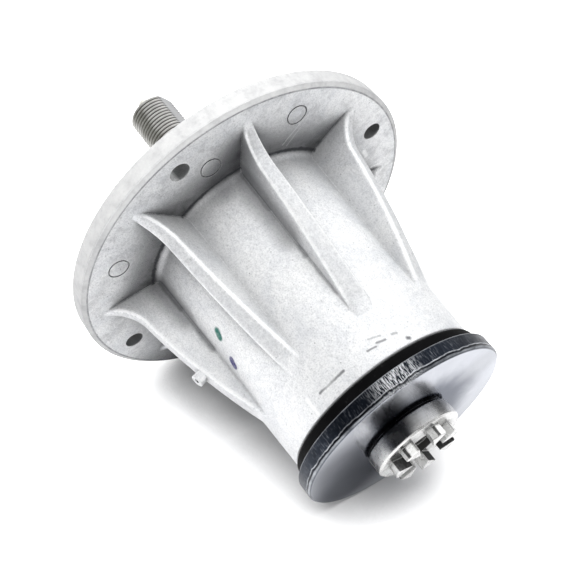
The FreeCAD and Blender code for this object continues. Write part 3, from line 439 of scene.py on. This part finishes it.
# ---------------------------------------------------------------- blued steel disc: dark scuffed rim, polished face
def disc_steel():
    m = Mat("blued_steel")
    r, z, x, y = m.cyl()
    rings = m.join(r, m.math("MULTIPLY", z, 0.4), m.math("MULTIPLY", x, 0.02))
    turned = m.noise(rings, 1500, 3, 0.6)
    cloud = m.noise(m.obj, 60, 4, 0.6, 0.8)
    fine = m.noise(m.obj, 800, 3, 0.6)
    rim = m.range(r, 0.0499, 0.0503)
    face = m.ramp(cloud, [(0.3, (0.39, 0.405, 0.45)), (0.6, (0.45, 0.465, 0.51)), (0.85, (0.50, 0.515, 0.55))])
    # short marks across the rim, left by the tool that turned it
    across = m.noise(m.join(x, y, m.math("MULTIPLY", z, 0.16)), 2300, 2, 0.65)
    across2 = m.noise(m.join(x, y, m.math("MULTIPLY", z, 0.16)), 520, 2, 0.5)
    navy = m.ramp(cloud, [(0.3, (0.006, 0.009, 0.015)), (0.6, (0.013, 0.018, 0.029)), (0.85, (0.030, 0.038, 0.055))])
    scratch = m.range(across, 0.53, 0.68)
    where = m.range(across2, 0.36, 0.60, 0.25, 1.0)
    lit = m.math("MULTIPLY", scratch, where)
    # painted highlight: a patch of the rim lit from overhead, where the marks turn light
    centre = Vector(polar(255.5, 129.8, 51.0))
    near = m.range(m.vec("DISTANCE", m.obj, tuple(centre)), 0.015, 0.004, smooth=True)
    lit = m.math("MAXIMUM", m.math("MULTIPLY", lit, 0.38), m.math("MULTIPLY", m.range(across, 0.48, 0.62), m.math("MULTIPLY", near, 0.8)))
    rim_col = m.mix(lit, navy, (0.40, 0.42, 0.46))
    rim_col = m.mix(m.range(across, 0.42, 0.30), rim_col, (0.008, 0.010, 0.016))
    rim_col = m.mix(m.math("MULTIPLY", m.math("MULTIPLY", near, m.range(across, 0.46, 0.58)), 0.75), rim_col, (0.88, 0.89, 0.91))
    # painted highlights along the rim's two corners
    back = m.math("MULTIPLY", m.range(z, 0.1257, 0.1252), rim)
    front = m.math("MULTIPLY", m.range(z, 0.1319, 0.1323), m.range(z, 0.1331, 0.1327))
    rim_corner_highlight = m.math("MULTIPLY", m.math("MAXIMUM", back, m.math("MULTIPLY", front, m.range(r, 0.0492, 0.0496))), m.range(cloud, 0.35, 0.65, 0.1, 0.75))
    rim_col = m.mix(rim_corner_highlight, rim_col, (0.50, 0.52, 0.55))
    # painted highlight along the rolled front edge of the rim: a light broken line over a painted dark line
    along_rim = m.noise(m.join(x, y, 0.0), 170, 3, 0.6)
    wave = m.math("ADD", z, m.math("MULTIPLY", m.math("SUBTRACT", along_rim, 0.5), 0.0026))
    rolled_edge_highlight = m.math("MULTIPLY", m.range(wave, 0.1307, 0.1310), m.range(wave, 0.1314, 0.1311))
    rolled_edge_shade = m.math("MULTIPLY", m.range(wave, 0.1312, 0.1314), m.range(wave, 0.1323, 0.1320))
    rim_col = m.mix(m.math("MULTIPLY", rolled_edge_shade, 0.85), rim_col, (0.004, 0.005, 0.008))
    rim_col = m.mix(m.math("MULTIPLY", rolled_edge_highlight, m.range(m.noise(m.join(x, y, 0.0), 230, 3, 0.6), 0.36, 0.62, 0.25, 0.85)), rim_col, (0.74, 0.76, 0.80))
    # painted reflection: the face is darker in a ring round the hub
    hub_ring_reflection = m.range(m.math("ADD", r, m.math("MULTIPLY", m.math("SUBTRACT", cloud, 0.5), 0.012)), 0.042, 0.024, smooth=True)
    face = m.mix(m.math("MULTIPLY", hub_ring_reflection, 0.86), face, (0.055, 0.065, 0.095))
    # painted reflection of the contact shadow: two dark patches on the face
    shadow_reflection = m.range(m.vec("DISTANCE", m.obj, polar(12.0, 133.3, 36.0)), 0.034, 0.010, smooth=True)
    shadow_reflection2 = m.math("MULTIPLY", m.range(m.vec("DISTANCE", m.obj, polar(325.0, 133.3, 34.0)), 0.030, 0.006, smooth=True), 0.70)
    shadow_reflection = m.math("SUBTRACT", 1.0, m.math("MULTIPLY", m.math("SUBTRACT", 1.0, shadow_reflection), m.math("SUBTRACT", 1.0, shadow_reflection2)))
    shadow_reflection = m.math("MULTIPLY", shadow_reflection, m.range(cloud, 0.2, 0.7, 0.88, 1.0))
    face = m.mix(m.math("MULTIPLY", shadow_reflection, 0.95), face, (0.044, 0.047, 0.056))
    # painted shade: the face is darkened in one patch
    dull = m.range(m.vec("DISTANCE", m.obj, polar(182.8, 133.3, 42.4)), 0.016, 0.005, smooth=True)
    face = m.mix(m.math("MULTIPLY", dull, 0.22), face, (0.044, 0.047, 0.056))
    col = m.mix(rim, face, rim_col)
    dot = m.segment(polar(29.1, 133.3, 28.4), polar(31.5, 133.3, 30.4), 0.0009, 0.8)
    col = m.mix(m.math("MULTIPLY", dot, 0.9), col, (0.01, 0.01, 0.012))
    rough = m.mixf(rim, m.range(fine, 0.3, 0.7, 0.12, 0.18), m.range(fine, 0.3, 0.7, 0.30, 0.42))
    h = m.math("ADD", m.math("MULTIPLY", turned, 0.06), m.math("MULTIPLY", m.math("MULTIPLY", across, rim), 1.2))
    # the painted reflections also tint the specular
    tint = m.mix(m.math("MULTIPLY", m.math("MAXIMUM", shadow_reflection, m.math("MULTIPLY", hub_ring_reflection, 0.6)), 0.52), (1, 1, 1), (0.27, 0.29, 0.34))
    m.set(Base_Color=col, Specular_Tint=tint, Metallic=m.mixf(rim, 1.0, 0.85), Roughness=rough, Normal=m.bump(h, 0.25, 0.00015, m.bevel(0.0004)))
    return m.mat


# ---------------------------------------------------------------- rubber
def rubber(name, base, rough0, rough1, spec=0.5):
    m = Mat(name)
    r, z, x, y = m.cyl()
    n1 = m.noise(m.obj, 700, 3, 0.6)
    n2 = m.noise(m.obj, 90, 3, 0.6, 0.5)
    arc = m.noise(m.join(r, z, m.math("MULTIPLY", x, 0.05)), 1200, 2, 0.5)
    lo = tuple(c * 0.6 for c in base)
    hi = tuple(min(1.0, c * 1.9) for c in base)
    col = m.ramp(n2, [(0.3, lo), (0.6, base), (0.85, hi)])
    dust = m.math("MULTIPLY", m.range(n1, 0.66, 0.78), 0.10)
    col = m.mix(dust, col, (0.30, 0.30, 0.30))
    h = m.math("ADD", m.math("MULTIPLY", n1, 0.4), m.math("MULTIPLY", arc, 0.4))
    m.set(Base_Color=col, Metallic=0.0, Roughness=m.range(n2, 0.3, 0.7, rough0, rough1), Specular_IOR_Level=spec, Normal=m.bump(h, 0.2, 0.0001, m.bevel(0.0004)))
    return m.mat


# ---------------------------------------------------------------- plain hidden metals
def plain_metal(name, lo, hi, rough, ring_scale=1800, speck=0.0, metal=1.0):
    m = Mat(name)
    r, z, x, y = m.cyl()
    rings = m.noise(m.join(r, z, m.math("MULTIPLY", x, 0.04)), ring_scale, 2, 0.6)
    cloud = m.noise(m.obj, 120, 3, 0.6, 0.5)
    fine = m.noise(m.obj, 900, 3, 0.6)
    col = m.ramp(cloud, [(0.3, lo), (0.7, hi)])
    col = m.mix(0.3, col, m.ramp(rings, [(0.3, 0.6), (0.6, 1.0)]), "MULTIPLY")
    if speck:
        col = m.mix(m.math("MULTIPLY", m.range(fine, 0.62, 0.75), speck), col, (0.08, 0.075, 0.07))
    # edge wear and painted highlights: sharp edges are lightened
    edge = m.edge(0.0004, 0.04, 0.3)
    col = m.mix(m.math("MULTIPLY", edge, 0.5), col, tuple(min(1.0, c * 1.25) for c in hi))
    m.set(Base_Color=col, Metallic=metal, Roughness=m.range(fine, 0.3, 0.7, rough, rough + 0.12), Normal=m.bump(rings, 0.2, 0.00008, m.bevel(0.0003)))
    return m.mat


MATS = {
    "cast_aluminium": cast_aluminium(),
    "machined_steel": shaft_steel(),
    "blued_steel": disc_steel(),
    "black_rubber": rubber("black_rubber", (0.0026, 0.0026, 0.0029), 0.52, 0.64, 0.045),
    "bearing_steel": plain_metal("bearing_steel", (0.55, 0.55, 0.56), (0.74, 0.74, 0.75), 0.12),
    "cage_steel": plain_metal("cage_steel", (0.42, 0.41, 0.39), (0.62, 0.61, 0.58), 0.26, 900, 0.3),
    "seal_rubber": rubber("seal_rubber", (0.022, 0.020, 0.020), 0.40, 0.55),
    "tube_steel": plain_metal("tube_steel", (0.30, 0.295, 0.285), (0.48, 0.475, 0.46), 0.32, 1400, 0.4),
    "spring_steel": plain_metal("spring_steel", (0.16, 0.16, 0.17), (0.30, 0.30, 0.31), 0.30, 1600, 0.3),
    "plated_steel": plain_metal("plated_steel", (0.80, 0.79, 0.72), (0.92, 0.91, 0.85), 0.42, 1500, 0.1, 0.35),
}

slot_of = {}
for mat in frame["record"]["materials"]:
    for n in mat.get("nodes", []):
        slot_of[n] = mat["slot"]
for name, ob in NODES.items():
    slot = slot_of.get(name)
    if slot is None and ob.data.materials and ob.data.materials[0]:
        slot = ob.data.materials[0].name.split(".")[0]
    new = MATS[slot]
    if not ob.data.materials:
        ob.data.materials.append(new)
    for i in range(len(ob.data.materials)):
        ob.data.materials[i] = new


# ---------------------------------------------------------------- thread inside the blade bolt hole
def bore_thread():
    pitch, r_root, r_crest = 0.00175, 0.00514, 0.00476
    z0, z1, seg = 0.1085, 0.1411, 56
    turns = (z1 - z0) / pitch
    steps = int(turns * seg)
    profile = ((r_root, -0.36), (r_crest, -0.07), (r_crest, 0.07), (r_root, 0.36))
    verts, faces = [], []
    for i in range(steps + 1):
        a = 2 * math.pi * i / seg
        z = z0 + pitch * i / seg
        fade = min(1.0, i / (seg * 0.5), (steps - i) / (seg * 0.3))
        for rr, dz in profile:
            q = r_root + (rr - r_root) * fade
            verts.append((q * math.cos(a), q * math.sin(a), z + dz * pitch))
    n = len(profile)
    for i in range(steps):
        for k in range(n - 1):
            p = i * n + k
            faces.append((p, p + n, p + n + 1, p + 1))
        faces.append((i * n + n - 1, (i + 1) * n + n - 1, (i + 1) * n, i * n))
    faces.append(tuple(range(n)))
    faces.append(tuple(reversed(range(steps * n, steps * n + n))))
    me = bpy.data.meshes.new("bore_thread")
    me.from_pydata(verts, [], faces)
    me.update()
    ob = bpy.data.objects.new("bore_thread", me)
    sc.collection.objects.link(ob)
    me.materials.append(MATS["machined_steel"])
    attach(ob, "spindle")
    return ob


bore_thread()


# ---------------------------------------------------------------- camera at the photograph's angle
right = Vector((-0.75245516, 0.34659971, 0.5602))
down = Vector((0.65407385, 0.2924064, 0.6978))
fwd = Vector((0.07797824, 0.8912954, -0.4467))
fwd.normalize()
right = (right - fwd * right.dot(fwd)).normalized()
down = fwd.cross(right)
rot = Matrix((right, -down, -fwd)).transposed()
cam_data = bpy.data.cameras.new("camera")
cam_data.sensor_fit = "HORIZONTAL"
cam_data.sensor_width = 36.0
cam_data.lens = 899.8 / 572 * 36.0
cam_data.clip_start, cam_data.clip_end = 0.01, 50.0
cam = bpy.data.objects.new("camera", cam_data)
sc.collection.objects.link(cam)
cam.rotation_mode = "QUATERNION"
cam.location = (-0.03080958, -0.38200758, 0.23557747)
cam.rotation_quaternion = rot.to_quaternion()
sc.camera = cam

# ---------------------------------------------------------------- floor: the plane that the flange rim and the disc rim lie on in the photograph
phi = math.radians(232.5)
tilt = math.atan2(91.0 - 51.0, 132.3 - 8.9)
up = Vector((math.cos(phi) * math.cos(tilt), math.sin(phi) * math.cos(tilt), -math.sin(tilt)))
side = right - up * right.dot(up)
side.normalize()
toward = side.cross(up)
if toward.dot(fwd) > 0:
    toward = -toward
centre = Vector((0.0, 0.0, 0.03))
floor_d = -0.091 * math.cos(tilt) - 0.0089 * math.sin(tilt) - 0.0004


def floor():
    half = 4.0
    o = up * floor_d
    pts = [o - side * half + toward * half, o + side * half + toward * half, o + side * half - toward * half, o - side * half - toward * half]
    me = bpy.data.meshes.new("floor")
    me.from_pydata([tuple(p) for p in pts], [], [(0, 1, 2, 3)])
    me.update()
    if me.polygons[0].normal.dot(up) < 0:
        me.flip_normals()
    ob = bpy.data.objects.new("floor", me)
    sc.collection.objects.link(ob)
    mat = bpy.data.materials.new("pale_floor")
    mat.use_nodes = True
    nt = mat.node_tree
    nt.nodes.clear()
    out = nt.nodes.new("ShaderNodeOutputMaterial")
    dif = nt.nodes.new("ShaderNodeBsdfDiffuse")
    dif.inputs[0].default_value = (0.70, 0.70, 0.705, 1)
    emi = nt.nodes.new("ShaderNodeEmission")
    emi.inputs[0].default_value = (1, 1, 1, 1)
    seen = nt.nodes.new("ShaderNodeLightPath")
    # soft contact shade: the open floor burns out to white, as in a catalogue picture
    occ = nt.nodes.new("ShaderNodeAmbientOcclusion")
    occ.samples = 12
    occ.inputs["Distance"].default_value = 0.060
    open_floor = nt.nodes.new("ShaderNodeMapRange")
    open_floor.interpolation_type = "SMOOTHSTEP"
    for i, v in ((1, 0.34), (2, 0.86), (3, 0.0), (4, 0.90)):
        open_floor.inputs[i].default_value = v
    nt.links.new(occ.outputs["AO"], open_floor.inputs[0])
    lift = nt.nodes.new("ShaderNodeMath")
    lift.operation = "MULTIPLY"
    nt.links.new(open_floor.outputs[0], lift.inputs[1])
    mirrored = nt.nodes.new("ShaderNodeMath")
    mirrored.operation = "MULTIPLY_ADD"
    mirrored.inputs[1].default_value = 0.50
    nt.links.new(seen.outputs["Is Glossy Ray"], mirrored.inputs[0])
    nt.links.new(seen.outputs["Is Camera Ray"], mirrored.inputs[2])
    nt.links.new(mirrored.outputs[0], lift.inputs[0])
    nt.links.new(lift.outputs[0], emi.inputs[1])
    add = nt.nodes.new("ShaderNodeAddShader")
    tra = nt.nodes.new("ShaderNodeBsdfTransparent")
    geo = nt.nodes.new("ShaderNodeNewGeometry")
    mix = nt.nodes.new("ShaderNodeMixShader")
    nt.links.new(dif.outputs[0], add.inputs[0])
    nt.links.new(emi.outputs[0], add.inputs[1])
    nt.links.new(geo.outputs["Backfacing"], mix.inputs[0])
    nt.links.new(add.outputs[0], mix.inputs[1])
    nt.links.new(tra.outputs[0], mix.inputs[2])
    nt.links.new(mix.outputs[0], out.inputs[0])
    me.materials.append(mat)


floor()


# ---------------------------------------------------------------- soft studio light
DIM, DIM_BACK, CEILING, PANEL = 0.38, 0.90, 0.88, 1.00


def area(name, offset, size, power, size_y=None, colour=(1, 1, 1), target=centre):
    data = bpy.data.lights.new(name, "AREA")
    data.shape = "RECTANGLE"
    data.size = size
    data.size_y = size_y or size
    data.energy = power
    data.color = colour
    ob = bpy.data.objects.new(name, data)
    sc.collection.objects.link(ob)
    pos = centre + side * offset[0] + up * offset[1] + toward * offset[2]
    ob.location = pos
    ob.rotation_mode = "QUATERNION"
    ob.rotation_quaternion = (target - pos).to_track_quat("-Z", "Y")
    return ob


key = area("key", (-0.12, 0.84, 0.40), 0.50, 9.9, 0.50)
key.visible_glossy = False

world = bpy.data.worlds.new("studio")
sc.world = world
world.use_nodes = True
wn = world.node_tree
wn.nodes.clear()


def wnode(kind, inputs, **props):
    n = wn.nodes.new(kind)
    for k, v in props.items():
        setattr(n, k, v)
    for i, v in inputs.items():
        if isinstance(v, bpy.types.NodeSocket):
            wn.links.new(v, n.inputs[i])
        else:
            n.inputs[i].default_value = v
    return n


def wmath(op, a, b=0.0, clamp=False):
    return wnode("ShaderNodeMath", {0: a, 1: b}, operation=op, use_clamp=clamp).outputs[0]


gen = wnode("ShaderNodeTexCoord", {}).outputs["Generated"]


def along(axis):
    return wnode("ShaderNodeVectorMath", {0: gen, 1: tuple(axis)}, operation="DOT_PRODUCT").outputs["Value"]


def wrange(v, a, b, c, d):
    return wnode("ShaderNodeMapRange", {0: v, 1: a, 2: b, 3: c, 4: d}, interpolation_type="SMOOTHSTEP").outputs[0]


# matt light: soft ceiling, paler walls to the right and behind
walls = wmath("ADD", wrange(along(toward), -0.15, -0.85, DIM, DIM_BACK), wrange(along(side), 0.1, 0.9, 0.0, 0.85))
walls = wmath("ADD", walls, wrange(along(side), -0.1, -0.9, 0.0, 0.25))
sky = wrange(along(up), 0.12, 0.62, walls, CEILING)
sky = wmath("MULTIPLY", sky, wrange(along(toward), 0.40, 0.85, 1.0, 0.45))
# mirrored light: one broad soft panel overhead, a grey wall behind, dark to the left and towards the camera
panel = wmath("MULTIPLY", wrange(along(up), 0.42, 0.62, 0.0, 1.0), wrange(along(side), -0.50, -0.28, 0.0, 1.0))
panel = wmath("MULTIPLY", panel, wrange(along(toward), 0.52, 0.30, 0.0, PANEL))
mirror = wmath("ADD", panel, wrange(along(toward), -0.35, -0.85, 0.07, 0.55))
mirror = wmath("ADD", mirror, wrange(along(side), 0.3, 0.9, 0.0, 0.25))
bg_matt = wnode("ShaderNodeBackground", {0: (0.985, 0.992, 1.0, 1), 1: sky})
bg_mirror = wnode("ShaderNodeBackground", {0: (0.985, 0.992, 1.0, 1), 1: mirror})
lp = wnode("ShaderNodeLightPath", {})
bg_lit = wnode("ShaderNodeMixShader", {0: lp.outputs["Is Glossy Ray"], 1: bg_matt.outputs[0], 2: bg_mirror.outputs[0]})
bg_seen = wnode("ShaderNodeBackground", {0: (1, 1, 1, 1), 1: 1.1})
wmix = wnode("ShaderNodeMixShader", {0: lp.outputs["Is Camera Ray"], 1: bg_lit.outputs[0], 2: bg_seen.outputs[0]})
wnode("ShaderNodeOutputWorld", {0: wmix.outputs[0]})

sc.view_settings.view_transform = "Standard"
sc.view_settings.look = "None"
sc.view_settings.exposure = 0.0
sc.view_settings.gamma = 1.0
